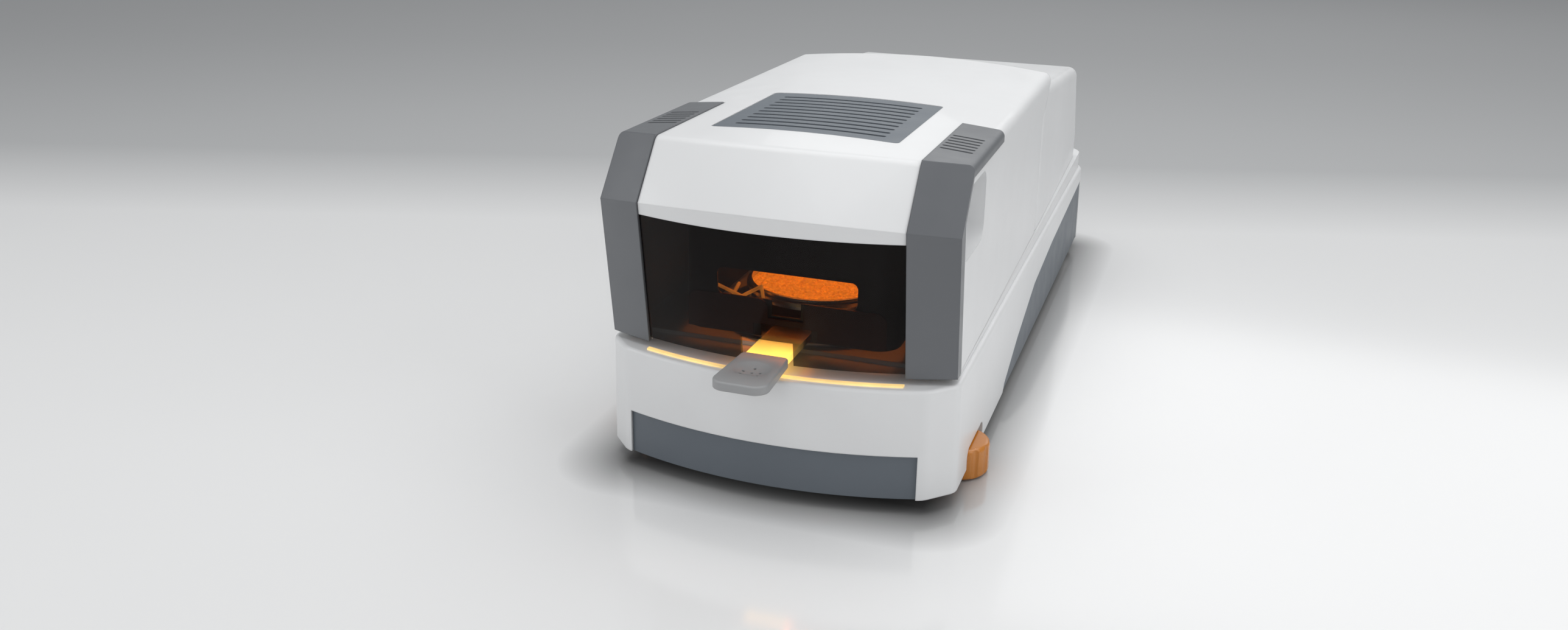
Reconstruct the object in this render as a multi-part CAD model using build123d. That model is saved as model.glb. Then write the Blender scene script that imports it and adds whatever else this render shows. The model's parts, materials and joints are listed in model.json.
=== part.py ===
from build123d import *
import math
import os

# Driving dimensions in millimetres. "Back" is measured towards the rear, heights from a level just below the shell.
LIFT = 7.0                    # that level stands this far above the floor
BASE_WIDTH_FRONT = 214.0      # across the lip at the front
BASE_WIDTH_REAR = 205.0       # across the base at the rear
BASE_DRAFT = -0.8             # how much narrower each side is at the foot of the wall; below zero it is wider
BASE_BACK = 570.5             # rear face of the base
BASE_TOP = 70.0               # height of the lip
BASE_FOOT_GAP = 3.0           # height of the lower edge of the wall
BASE_WALL = 3.0
BASE_NOSE = -18.2             # middle of the bowed front
BASE_BOW_HALF = 92.0          # half width of the bowed front
BASE_BOW_BACK = -2.5          # where the bow ends and the slanted corner starts
BASE_CORNER = 13.0            # where the slanted corner ends and the side starts
BASE_BOW_ROUND = 14.0
BASE_CORNER_ROUND = 10.0
BASE_REAR_RADIUS = BASE_WIDTH_REAR * 0.117
LIP_RADIUS = 2.4
BOW_RADIUS = 270.0            # plan radius of every bowed front face
SHOULDER_STEP = 3.0           # the shoulder is this much inside the lip
SHOULDER_FRONT = 72.0         # parting height at the front
SHOULDER_RISE = 12.0          # how much higher the parting is at the rear of the base
PARTING_GAP = 0.6

HOOD_WIDTH_FRONT = 209.0
HOOD_WIDTH_REAR = 201.0       # at the upright part of the seam
SEAM_BACK = 293.0             # upright part of the seam between the lid and the rear housing
SEAM_RUN = 32.0               # how far the sloped part of the seam goes back
SEAM_CLIMB = 25.0             # and how far it climbs meanwhile
HOOD_TOP = 197.5
SEAM_KINK = HOOD_TOP - 32.5   # height where the seam turns back
HOOD_CROWN_RADIUS = 955.0
HOOD_WALL = 3.8
HOOD_EDGE_RADIUS = 7.0
FRONT_LOW_BACK = -9.8         # middle of the lid's front at the bottom of the glass
FRONT_KINK_BACK = -22.4       # middle of the lid's front at the kink
KINK_HEIGHT = HOOD_TOP - 32.7
SLANT_TOP_BACK = 3.6          # middle of the slanted face where it meets the top
GLASS_BOTTOM = 76.4
GLASS_TOP = KINK_HEIGHT - 10.0
GLASS_THICKNESS = 2.4
GLASS_INSET = 0.6

GRIP_INNER = 77.7             # inner edge of each grip from the middle
GRIP_PROUD = 1.0
GRIP_SKIN = 2.2
GRIP_EDGE_RADIUS = 3.2
GRIP_LOW_BACK = 20.7          # rear edge of the grip on the side of the lid, at its foot
GRIP_KINK_BACK = 8.1          # the same at the kink
GRIP_HIGH_BACK = 24.8         # the same under the pad
GRIP_BOTTOM = 74.0
PAD_BACK = 120.0              # rear end of the pad on top
PAD_LOW = HOOD_TOP - 11.5     # lower edge of the pad on the side of the lid
PAD_CORNER = 4.0
PAD_GROOVES = 6
PAD_GROOVE_PITCH = 6.6
PAD_GROOVE_FIRST = 49.0
PAD_GROOVE_WIDTH = 2.4
PAD_GROOVE_LENGTH = 19.0
PAD_GROOVE_DEPTH = 1.5
RECESS_FRONT = 12.0
RECESS_BACK = 68.0            # rear edge of the finger recess
RECESS_HIGH = PAD_LOW - 4.6
RECESS_LOW = RECESS_HIGH - 41.4
RECESS_ROUND = 10.0
RECESS_DEPTH = 11.0
RECESS_WALL = 2.4

VENT_WIDTH = 113.0
VENT_FRONT = 45.5
VENT_REAR = 157.0
VENT_THICKNESS = 2.6
VENT_SLOTS = 10
VENT_SLOT_WIDTH = 3.2
VENT_SLOT_LENGTH = 92.0
VENT_MARGIN = 13.0

HOUSING_TOP_FRONT = HOOD_TOP - 10.5
HOUSING_TOP_REAR = HOOD_TOP - 27.0
HOUSING_TOP_BACK = 497.0
HOUSING_FOOT_BACK = 545.0
HOUSING_WIDTH_REAR = 188.0
HOUSING_WALL = 3.0
HOUSING_GAP = 1.2             # seam between the lid and the housing

HINGE_BACK = 338.0
HINGE_HEIGHT = HOOD_TOP - 23.5
HINGE_PIN_RADIUS = 2.5
HINGE_KNUCKLE = 5.0
HINGE_CLEARANCE = 0.05
HINGE_SPREAD = HOOD_WIDTH_REAR / 2 - 22.5
HINGE_ARM_WIDTH = 8.0
HINGE_ARM_REACH = 40.0         # how far the arms run forward under the lid from the seam
HINGE_ARM_STEP = 6.0           # the thick part of an arm ends this far before the seam
HINGE_PIN_HALF = 12.0
HINGE_PLATE = 4.0              # bracket thickness
HINGE_PLATE_GAP = 0.5
HINGE_PLATE_FRONT = 16.0
HINGE_PLATE_REAR = 18.0
DAMPER_INNER = 26.0            # damper ends, measured inwards from the middle of an arm
DAMPER_OUTER = 12.1
HINGE_SLOT_PLAY = 0.7
HINGE_SLOT_BACK = 4.5          # the slot in the housing goes this far behind the pin, for the raised arm

PAN_RADIUS = 45.0
PAN_BACK = 87.3
PAN_RIM = 97.0
PAN_DEPTH = 7.5
PAN_WALL = 0.6
PAN_BEAD = 1.1
SAMPLE_DEPTH = 2.6
CARRIER_WIDTH = 25.0
CARRIER_TOP = 81.0
CARRIER_SHEET = 1.5
CARRIER_FLANGE = 4.0
CARRIER_RING_RADIUS = 49.5
TAB_REACH = 57.0              # how far the tab stands in front of the lip corners
TAB_BACK = -11.5              # rear edge of the tab
TAB_WIDTH = 33.0
TAB_THICKNESS = 5.0
TAB_TOP = 82.2
TAB_HOLE_RADIUS = 0.8
SLOT_HALF = 15.6
SLOT_TOP = 90.5
WINDOW_BACK = 22.0            # inner front panel with the T-shaped window
WINDOW_HALF = 43.0
WINDOW_LOW = 102.0
WINDOW_HIGH = 118.5
WINDOW_NOTCH_HALF = 9.0
WINDOW_NOTCH_LOW = 92.5

FOOT_SIDE = 98.0
FOOT_BACK = 63.0
KNOB_RADIUS = 19.0
KNOB_LOW = 0.6 - LIFT
KNOB_HIGH = 13.5
KNOB_LOBES = 12
KNOB_LOBE_RADIUS = 3.6
KNOB_EDGE = 2.5
KNOB_POCKET = 10.5            # radius of the hollow under the knob that clears the foot pad
KNOB_POCKET_HIGH = 7.0 - LIFT
ARCH_FRONT = 43.0             # opening in the side wall for the knob
ARCH_REAR = 91.0
ARCH_TOP = 15.2
ARCH_ROUND = 6.0
STEM_RADIUS = 4.0
STEM_CLEARANCE = 0.08
FOOT_PAD_RADIUS = 9.0
FOOT_PAD_HEIGHT = 4.0
FOOT_PAD_TOP = FOOT_PAD_HEIGHT - LIFT
BOSS_RADIUS = 9.0
REAR_FOOT_RADIUS = 10.0
REAR_FOOT_SIDE = 72.0
REAR_FOOT_BACK = 535.0

SKIRT_HALF = 88.3             # front skirt panel from the middle to its end
SKIRT_TOP = 30.0
SKIRT_INSET = 1.6
SKIRT_THICKNESS = 2.2
SIDE_SKIRT_THICKNESS = 2.4
PLATE_LOW = 7.5
PLATE_THICKNESS = 2.0
CHAMBER_RADIUS = 58.0
TRAY_FLOOR = 66.0
SHEET = 1.2
FIT = 0.3                     # gap between neighbouring covers

# The part's origin is on the floor under the middle of its length.
ORIGIN_BACK = (BASE_BACK - TAB_REACH) / 2
PLATE_TOP = PLATE_LOW + PLATE_THICKNESS
PARTS = {}


def back(distance):
    return distance - ORIGIN_BACK


def block(x0, x1, y0, y1, z0, z1):
    middle = ((x0 + x1) / 2, (y0 + y1) / 2, (z0 + z1) / 2)
    return Pos(*middle) * Box(x1 - x0, y1 - y0, z1 - z0)


def rod(x, y, z0, z1, radius):
    return Pos(x, y, (z0 + z1) / 2) * Cylinder(radius, z1 - z0)


def rod_x(x0, x1, y, z, radius):
    return Pos((x0 + x1) / 2, y, z) * Rot(0, 90, 0) * Cylinder(radius, x1 - x0)


def rod_y(x, y0, y1, z, radius):
    return Pos(x, (y0 + y1) / 2, z) * Rot(90, 0, 0) * Cylinder(radius, y1 - y0)


def one(shape):
    found = shape.solids()
    return found[0] if len(found) == 1 else Compound(children=list(found))


def keep(name, shape):
    PARTS[name] = one(shape)


def side_prism(points, x0, x1):
    """A prism along X whose outline is given as (back, height) points."""
    face = make_face(Polyline(*[(x0, back(b), h) for b, h in points], close=True).edges())
    return extrude(face, amount=x1 - x0, dir=(1, 0, 0))


def mirrored(shape):
    return mirror(shape, about=Plane.YZ)


# The sloped parting between the base and what stands on it
def parting(distance):
    return SHOULDER_FRONT + SHOULDER_RISE * distance / BASE_BACK


def above_parting(gap, x=150.0):
    low = parting(-100) + gap
    high = parting(BASE_BACK + 100) + gap
    points = [(-100, low), (BASE_BACK + 100, high), (BASE_BACK + 100, 400), (-100, 400)]
    return side_prism(points, -x, x)


# Base plan: a bowed front, sides that draw in towards the rear, and round rear corners
def base_plan(height, inset):
    lean = BASE_DRAFT * (BASE_TOP - height) / (BASE_TOP - BASE_FOOT_GAP)
    drawn = inset + lean
    side = BASE_WIDTH_FRONT / 2 - drawn
    rear = BASE_WIDTH_REAR / 2 - drawn
    bow_half = BASE_BOW_HALF - 0.545 * drawn     # the corners move square to both neighbouring faces
    bow_end = back(BASE_BOW_BACK) + 0.869 * drawn
    corner = back(BASE_CORNER) + 0.414 * drawn
    far = back(BASE_BACK - inset)
    outline = ThreePointArc((-bow_half, bow_end), (0, back(BASE_NOSE) + drawn), (bow_half, bow_end))
    outline = outline + Polyline((bow_half, bow_end), (side, corner), (rear, far), (-rear, far), (-side, corner),
                                 (-bow_half, bow_end))
    face = make_face(outline.edges())
    face = fillet(face.vertices().sort_by(Axis.Y)[-2:], max(BASE_REAR_RADIUS - inset, 2))
    face = fillet(face.vertices().sort_by(Axis.Y)[:2], max(BASE_BOW_ROUND - inset, 2))
    face = fillet(face.vertices().sort_by(Axis.Y)[4:6], max(BASE_CORNER_ROUND - inset, 2))
    return Pos(0, 0, height) * face


def base_solid(inset, low, high):
    return loft([base_plan(low, inset), base_plan(high, inset)], ruled=True)


# Lid outside: sloped plan, crowned top, bowed front in two planes. "inset" shrinks every face.
def front_cylinder(low, high, inset):
    """Bowed cylinder whose front line runs through two (back, height) points of the middle section."""
    tilt = math.degrees(math.atan2(high[0] - low[0], high[1] - low[1]))
    radius = BOW_RADIUS - inset
    body = Cylinder(radius, 900)
    body = Pos(0, BOW_RADIUS, 0) * body
    body = Rot(-tilt, 0, 0) * body
    return Pos(0, back(low[0]), low[1]) * body


def upper_half(distance):
    """Half width of the lid and the rear housing at a distance behind the lip."""
    return (HOOD_WIDTH_FRONT - (HOOD_WIDTH_FRONT - HOOD_WIDTH_REAR) * distance / SEAM_BACK) / 2


def seam_profile(shift, reach):
    """Side outline in front of the seam, moved forward by shift square to the sloped part."""
    slope = SEAM_RUN / SEAM_CLIMB
    length = math.hypot(SEAM_RUN, SEAM_CLIMB)
    low = SEAM_BACK - shift
    # the sloped face, moved square to itself, meets the upright face a little higher or lower
    kink = SEAM_KINK + (shift * length / SEAM_CLIMB - shift) / slope
    high = 230.0
    return [(reach, 30.0), (low, 30.0), (low, kink), (low + (high - kink) * slope, high), (reach, high)]


def hood_solid(inset):
    far = SEAM_BACK + 80
    near = -60
    wide = upper_half(near) - inset
    narrow = upper_half(far) - inset
    plan = make_face(Polyline((-wide, back(near)), (wide, back(near)), (narrow, back(far)), (-narrow, back(far)),
                              close=True).edges())
    body = extrude(Pos(0, 0, 40) * plan, amount=HOOD_TOP)
    body = body & side_prism(seam_profile(inset if inset > 0 else 0, -100), -200, 200)
    crown = Pos(0, 0, HOOD_TOP - HOOD_CROWN_RADIUS) * Rot(90, 0, 0) * Cylinder(HOOD_CROWN_RADIUS - inset, 1500)
    body = body & crown
    body = body & front_cylinder((FRONT_LOW_BACK, GLASS_BOTTOM), (FRONT_KINK_BACK, KINK_HEIGHT), inset)
    body = body & front_cylinder((FRONT_KINK_BACK, KINK_HEIGHT), (SLANT_TOP_BACK, HOOD_TOP), inset)
    return one(body)


def soften(body, radius, picks):
    """Round the picked edges, with a smaller radius if the wall is too tight for the full one."""
    for share in (1.0, 0.7, 0.45):
        try:
            return fillet(picks, radius * share)
        except (ValueError, RuntimeError):
            continue
    return body


def long_top_edges(body):
    edges = body.edges().filter_by(lambda e: e.center().Z > HOOD_TOP - 20 and e.length > 200)
    return [e for e in edges if abs(e.center().X) > 80]


def cross_edges(body, low, high):
    edges = body.edges().filter_by(lambda e: abs(e.center().X) < 5 and e.length > 120)
    return [e for e in edges if low < e.center().Z < high and e.center().Y < back(60)]


HOODS = {}


def rounded_hood(inset, edge=HOOD_EDGE_RADIUS):
    key = (inset, edge)
    if key not in HOODS:
        body = hood_solid(inset)
        picks = long_top_edges(body) + cross_edges(body, KINK_HEIGHT - 12, HOOD_TOP + 1)
        HOODS[key] = one(soften(body, max(edge - inset, 2), picks))
    return HOODS[key]


HOOD_OUTER = rounded_hood(0)
HOOD_INNER = rounded_hood(HOOD_WALL)
GRIP_OUTER = rounded_hood(-GRIP_PROUD, GRIP_EDGE_RADIUS)
GRIP_CORE = rounded_hood(GRIP_SKIN)


def grip_zone(gap):
    inner = GRIP_INNER + gap
    points = [(-80, GRIP_BOTTOM), (GRIP_LOW_BACK - gap, GRIP_BOTTOM), (GRIP_KINK_BACK - gap, KINK_HEIGHT),
              (GRIP_HIGH_BACK - gap, PAD_LOW + gap), (PAD_BACK - gap, PAD_LOW + gap), (PAD_BACK - gap, HOOD_TOP + 20),
              (-80, HOOD_TOP + 20)]
    return side_prism(points, inner, 130)


# Lid
def recess_box(grow):
    low = RECESS_LOW - grow
    high = RECESS_HIGH + grow
    front = RECESS_FRONT - grow
    rear = RECESS_BACK + grow
    middle = (back((front + rear) / 2), (low + high) / 2)
    face = Plane.YZ * Pos(*middle) * RectangleRounded(rear - front, high - low, RECESS_ROUND + grow)
    inner = HOOD_WIDTH_FRONT / 2 - RECESS_DEPTH - grow
    return extrude(Pos(inner, 0, 0) * face, amount=60)


def glass_gap(gap):
    return block(-GRIP_INNER - 0.1 + gap, GRIP_INNER + 0.1 - gap, back(-60), back(25),
                 GLASS_BOTTOM - 30, GLASS_TOP - gap)


def vent_block(gap):
    half = VENT_WIDTH / 2 - gap
    face = make_face(Polyline((-half, back(VENT_FRONT + gap)), (half, back(VENT_FRONT + gap)),
                              (half, back(VENT_REAR - gap)), (-half, back(VENT_REAR - gap)), close=True).edges())
    face = fillet(face.vertices(), 3)
    return extrude(Pos(0, 0, HOOD_TOP - 30) * face, amount=60)


def hood_shell():
    body = HOOD_OUTER - HOOD_INNER
    body = body + ((recess_box(RECESS_WALL) + mirrored(recess_box(RECESS_WALL))) & HOOD_OUTER)
    body = body - recess_box(0) - mirrored(recess_box(0))
    skin = (rounded_hood(-4) - rounded_hood(GRIP_SKIN + 0.2)) & grip_zone(-FIT / 2)
    body = body - skin - mirrored(skin)
    body = body - glass_gap(0) - vent_block(-FIT)
    body = body & above_parting(PARTING_GAP)
    body = body - block(-130, 130, back(-60), back(GRIP_LOW_BACK), 40, GRIP_BOTTOM)
    for side in (-1, 1):
        half = HINGE_ARM_WIDTH / 2 + FIT
        body = body - block(side * HINGE_SPREAD - half, side * HINGE_SPREAD + half, back(SEAM_BACK - 10),
                            back(HINGE_BACK), HINGE_HEIGHT - HINGE_KNUCKLE - FIT, HINGE_HEIGHT + HINGE_KNUCKLE + FIT)
    keep("hood_shell", body.solids().sort_by(SortBy.VOLUME)[-1])


def grips():
    gap = FIT / 2
    body = one((GRIP_OUTER - GRIP_CORE) & grip_zone(gap))
    tip = body.edges().filter_by(lambda e: e.center().X > 100 and abs(e.center().Y - back(PAD_BACK - gap)) < 0.5)
    tip = [e for e in tip if abs(e @ 0 - e @ 1) > 2 and abs((e @ 0).Z - (e @ 1).Z) > 2]
    body = one(soften(body, PAD_CORNER, tip))
    middle = (GRIP_INNER + HOOD_WIDTH_FRONT / 2) / 2 - 2
    floor = rounded_hood(PAD_GROOVE_DEPTH - GRIP_PROUD)
    for number in range(PAD_GROOVES):
        at = back(PAD_GROOVE_FIRST + number * PAD_GROOVE_PITCH)
        groove = Pos(middle, at, HOOD_TOP - 6) * SlotOverall(PAD_GROOVE_LENGTH, PAD_GROOVE_WIDTH)
        body = body - (extrude(groove, amount=30) - floor)
    biggest = body.solids().sort_by(SortBy.VOLUME)[-1]
    keep("grip_right", biggest)
    keep("grip_left", mirrored(biggest))


def glass_panel():
    skin = rounded_hood(GLASS_INSET) - rounded_hood(GLASS_INSET + GLASS_THICKNESS)
    body = skin & block(-GRIP_INNER + 0.2, GRIP_INNER - 0.2, back(-60), back(25), GLASS_BOTTOM, GLASS_TOP - FIT)
    body = body - block(-SLOT_HALF, SLOT_HALF, back(-60), back(25), GLASS_BOTTOM - 5, SLOT_TOP)
    keep("front_glass", body)


def vent_grille():
    skin = rounded_hood(0.3) - rounded_hood(0.3 + VENT_THICKNESS)
    body = skin & vent_block(0)
    span = VENT_REAR - VENT_FRONT - 2 * VENT_MARGIN
    for number in range(VENT_SLOTS):
        at = back(VENT_FRONT + VENT_MARGIN + span * number / (VENT_SLOTS - 1))
        slot = Pos(0, at, HOOD_TOP - 30) * SlotOverall(VENT_SLOT_LENGTH, VENT_SLOT_WIDTH)
        body = body - extrude(slot, amount=60)
    keep("vent_grille", body)


# Drying chamber in the lid
LINER_TOP = HOOD_TOP - 47.5
LINER_HALF = 66.0
LINER_BACK = 158.0
LINER_LOW = 79.0


def chamber_liner():
    outer = block(-LINER_HALF, LINER_HALF, back(WINDOW_BACK), back(LINER_BACK), LINER_LOW, LINER_TOP)
    outer = fillet(outer.edges().filter_by(Axis.Z), 14)
    inner = block(-LINER_HALF + SHEET, LINER_HALF - SHEET, back(WINDOW_BACK + SHEET), back(LINER_BACK - SHEET),
                  LINER_LOW - 5, LINER_TOP - SHEET)
    inner = fillet(inner.edges().filter_by(Axis.Z), 14 - SHEET)
    body = outer - inner
    body = body - rod(0, back(PAN_BACK), LINER_TOP - 10, LINER_TOP + 10, REFLECTOR_RADIUS - 6)
    at = back(WINDOW_BACK)
    wide = Pos(0, at, (WINDOW_LOW + WINDOW_HIGH) / 2) * Box(2 * WINDOW_HALF, 20, WINDOW_HIGH - WINDOW_LOW)
    wide = fillet(wide.edges().filter_by(Axis.Y), 4)
    notch = block(-WINDOW_NOTCH_HALF, WINDOW_NOTCH_HALF, at - 10, at + 10, WINDOW_NOTCH_LOW, WINDOW_LOW + 6)
    way = block(-SLOT_HALF, SLOT_HALF, at - 10, at + 10, LINER_LOW - 5, WINDOW_NOTCH_LOW - 3)
    body = body - wide - notch - way
    keep("chamber_liner", body)


REFLECTOR_RADIUS = 56.0
REFLECTOR_HIGH = HOOD_TOP - 21.5
LAMP_HEIGHT = LINER_TOP + 10.0
LAMP_RADIUS = 4.5
LAMP_LENGTH = 78.0
LAMP_SPREAD = 21.0
GUARD_THICKNESS = 2.0


def heater():
    centre = back(PAN_BACK)
    flange = rod(0, centre, LINER_TOP + 0.3, LINER_TOP + 0.3 + SHEET, REFLECTOR_RADIUS + 5)
    dome = Pos(0, centre, LINER_TOP + 0.3) * extrude(Circle(REFLECTOR_RADIUS), amount=REFLECTOR_HIGH - LINER_TOP,
                                                    taper=18)
    hollow = Pos(0, centre, LINER_TOP + 0.2) * extrude(Circle(REFLECTOR_RADIUS - SHEET),
                                                      amount=REFLECTOR_HIGH - LINER_TOP - SHEET, taper=18)
    body = flange + dome - hollow
    socket_reach = LAMP_LENGTH / 2 + 14
    holders = []
    for side in (-1, 1):
        at = centre + side * LAMP_SPREAD
        body = body - rod_x(-socket_reach, socket_reach, at, LAMP_HEIGHT, LAMP_RADIUS + 2.2)
        sleeve = rod_x(-LAMP_LENGTH / 2, LAMP_LENGTH / 2, at, LAMP_HEIGHT, LAMP_RADIUS)
        sleeve = fillet(sleeve.edges(), LAMP_RADIUS * 0.8)
        name = "front" if side < 0 else "rear"
        keep("halogen_lamp_" + name, sleeve)
        for end in (-1, 1):
            x0 = end * (LAMP_LENGTH / 2 + 0.1)
            x1 = end * (LAMP_LENGTH / 2 + 13)
            low, high = min(x0, x1), max(x0, x1)
            holders.append(rod_x(low, high, at, LAMP_HEIGHT, LAMP_RADIUS + 2.0))
    keep("lamp_holders", Compound(children=[one(h) for h in holders]))
    keep("reflector", body)
    guard = rod(0, centre, LINER_TOP - SHEET - 0.3 - GUARD_THICKNESS, LINER_TOP - SHEET - 0.3, REFLECTOR_RADIUS - 2)
    keep("lamp_guard_glass", guard)
    stem = rod(0, centre + 46, LINER_TOP - 24, LINER_TOP - SHEET - 0.6 - GUARD_THICKNESS, 1.6)
    bead = Pos(0, centre + 46, LINER_TOP - 24) * Sphere(2.6)
    keep("temperature_sensor", stem + bead)
    posts = []
    for x in (-1, 1):
        for y in (-1, 1):
            px = x * (LINER_HALF - 13)
            py = centre + y * (REFLECTOR_RADIUS + 3)
            top = HOOD_TOP - HOOD_WALL - px * px / (2 * HOOD_CROWN_RADIUS) - 0.4
            posts.append(rod(px, py, LINER_TOP, top, 3.5))
    keep("liner_posts", Compound(children=[one(p) for p in posts]))


# Hinge: arms on the lid reach through slots to pins held by brackets in the rear housing
def hinge():
    y = back(HINGE_BACK)
    foot = parting(HINGE_BACK + 20) + 0.1
    pins = []
    arms = []
    brackets = []
    dampers = []
    for side in (-1, 1):
        middle = side * HINGE_SPREAD
        half = HINGE_ARM_WIDTH / 2
        pin_ends = (middle - HINGE_PIN_HALF, middle + HINGE_PIN_HALF)
        pins.append(rod_x(*pin_ends, y, HINGE_HEIGHT, HINGE_PIN_RADIUS))
        roof = HOOD_TOP - HOOD_WALL - (HINGE_SPREAD + half) ** 2 / (2 * HOOD_CROWN_RADIUS) - FIT
        tip = back(SEAM_BACK - HINGE_ARM_REACH)
        arm = block(middle - half, middle + half, tip, y, HINGE_HEIGHT - HINGE_KNUCKLE, HINGE_HEIGHT + HINGE_KNUCKLE)
        arm = arm + block(middle - half, middle + half, tip, back(SEAM_BACK - HINGE_ARM_STEP), HINGE_HEIGHT, roof)
        arm = arm + rod_x(middle - half, middle + half, y, HINGE_HEIGHT, HINGE_KNUCKLE)
        arms.append(one(arm - rod_x(*pin_ends, y, HINGE_HEIGHT, HINGE_PIN_RADIUS + HINGE_CLEARANCE)))
        for cheek in (-1, 1):
            inner = middle + cheek * (half + HINGE_PLATE_GAP)
            outer = inner + cheek * HINGE_PLATE
            low, high = min(inner, outer), max(inner, outer)
            plate = side_prism([(HINGE_BACK - HINGE_PLATE_FRONT, foot), (HINGE_BACK + HINGE_PLATE_REAR, foot),
                                (HINGE_BACK + HINGE_KNUCKLE, HINGE_HEIGHT),
                                (HINGE_BACK - HINGE_KNUCKLE, HINGE_HEIGHT)], low, high)
            plate = plate + rod_x(low, high, y, HINGE_HEIGHT, HINGE_KNUCKLE)
            brackets.append(one(plate - rod_x(*pin_ends, y, HINGE_HEIGHT, HINGE_PIN_RADIUS)))
        ends = (side * (HINGE_SPREAD - DAMPER_INNER), side * (HINGE_SPREAD - DAMPER_OUTER))
        dampers.append(one(rod_x(min(ends), max(ends), y, HINGE_HEIGHT, HINGE_KNUCKLE)))
    keep("hinge_pins", Compound(children=[one(p) for p in pins]))
    keep("hinge_arms", Compound(children=arms))
    keep("hinge_brackets", Compound(children=brackets))
    keep("hinge_dampers", Compound(children=dampers))


# Rear housing behind the lid
def housing_solid(inset):
    front = HOOD_WIDTH_REAR / 2 - inset
    rear = HOUSING_WIDTH_REAR / 2 - inset
    near = back(SEAM_BACK)
    far = back(HOUSING_FOOT_BACK - inset)
    plan = make_face(Polyline((-front, near), (front, near), (rear + 2, far), (-rear - 2, far), close=True).edges())
    plan = fillet(plan.vertices().sort_by(Axis.Y)[-2:], max(16 - inset, 3))
    body = extrude(Pos(0, 0, 60) * plan, amount=160)
    profile = [(SEAM_BACK, 40), (HOUSING_FOOT_BACK + 8 - inset, 40), (HOUSING_FOOT_BACK - inset, 76),
               (HOUSING_TOP_BACK - inset, HOUSING_TOP_REAR - inset), (SEAM_BACK, HOUSING_TOP_FRONT - inset)]
    body = body & side_prism(profile, -150, 150)
    body = body - side_prism(seam_profile(-HOUSING_GAP - inset, 0), -150, 150)
    edges = [e for e in body.edges() if e.center().Z > 100 and abs(e.center().X) > 60 and e.length > 90]
    edges += [e for e in body.edges() if e.center().Z > HOUSING_TOP_REAR - 8 and abs(e.center().X) < 5
              and e.center().Y > back(HOUSING_TOP_BACK - 20)]
    return one(soften(body, max(8 - inset, 2), edges))


def rear_housing():
    body = housing_solid(0) - housing_solid(HOUSING_WALL)
    body = body & above_parting(0.3)
    for side in (-1, 1):
        half = HINGE_ARM_WIDTH / 2 + HINGE_SLOT_PLAY
        body = body - block(side * HINGE_SPREAD - half, side * HINGE_SPREAD + half, back(SEAM_BACK),
                            back(HINGE_BACK + HINGE_SLOT_BACK), HINGE_HEIGHT - HINGE_KNUCKLE - 1, HOOD_TOP)
    keep("rear_housing", body.solids().sort_by(SortBy.VOLUME)[-1])


# Base
def side_skirt_prism(gap):
    points = [(158 + 2 * gap, BASE_FOOT_GAP - 5), (168 + gap, 8 - gap), (214 + gap, 23.5 - gap),
              (286, 41.5 - gap), (374, 49 - gap), (BASE_BACK - BASE_REAR_RADIUS - gap, 57 - gap),
              (BASE_BACK - BASE_REAR_RADIUS - gap, BASE_FOOT_GAP - 5)]
    return side_prism(points, 80, 130)


def knob_cut():
    deep = 60.0
    arch = Plane.YZ * Pos(back((ARCH_FRONT + ARCH_REAR) / 2), ARCH_TOP - deep / 2)
    arch = arch * RectangleRounded(ARCH_REAR - ARCH_FRONT, deep, ARCH_ROUND)
    return extrude(Pos(FOOT_SIDE - KNOB_RADIUS - 4, 0, 0) * arch, amount=80)


def skirt_arch(gap):
    half = SKIRT_HALF - gap
    return block(-half, half, back(-60), back(25), -5, SKIRT_TOP - gap)


def base_shell():
    outer = base_solid(0, BASE_FOOT_GAP, BASE_TOP)
    top_edges = outer.faces().sort_by(Axis.Z)[-1].edges()
    outer = soften(outer, LIP_RADIUS, top_edges)
    shoulder = extrude(base_plan(BASE_TOP, SHOULDER_STEP).moved(Location((0, 0, -6))), amount=30)
    shoulder = shoulder - block(-150, 150, back(-60), back(26), BASE_TOP, 130)
    inner_top = BASE_TOP - BASE_WALL
    inner = base_solid(BASE_WALL, BASE_FOOT_GAP - 0.01, inner_top)
    body = outer + (shoulder - above_parting(0))
    body = body - inner
    hollow = extrude(base_plan(BASE_TOP, SHOULDER_STEP + BASE_WALL).moved(Location((0, 0, -5))), amount=30)
    hollow = hollow - above_parting(-BASE_WALL)
    body = body - (hollow & block(-150, 150, back(60), back(BASE_BACK), 0, 130))
    body = body - rod(0, back(PAN_BACK), BASE_TOP - 10, 100, CHAMBER_RADIUS)
    body = body - skirt_arch(0)
    for cut in (side_skirt_prism(0), knob_cut()):
        body = body - cut - mirrored(cut)
    body = body - rear_cuts(0.2)
    body = body.solids().sort_by(SortBy.VOLUME)[-1]
    keep("base_shell", body)


def front_skirt():
    body = base_solid(SKIRT_INSET, BASE_FOOT_GAP, BASE_TOP) - base_solid(SKIRT_INSET + SKIRT_THICKNESS, 0, BASE_TOP + 1)
    keep("front_skirt_panel", body & skirt_arch(FIT) & block(-150, 150, back(-60), back(25), 0, 60))


def side_skirts():
    skin = base_solid(0.5, BASE_FOOT_GAP, BASE_TOP) - base_solid(0.5 + SIDE_SKIRT_THICKNESS, 0, BASE_TOP + 1)
    body = one(skin & side_skirt_prism(FIT))
    body = body.solids().sort_by(SortBy.VOLUME)[-1]
    keep("side_skirt_right", body)
    keep("side_skirt_left", mirrored(body))


def light_strip():
    outer = base_solid(4.5, BASE_TOP + 0.05, BASE_TOP + 1.0)
    inner = base_solid(7.5, BASE_TOP - 1, BASE_TOP + 3)
    body = (outer - inner) & block(-GRIP_INNER, GRIP_INNER, back(-60), back(20), 0, 100)
    keep("light_strip", body)


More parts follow.
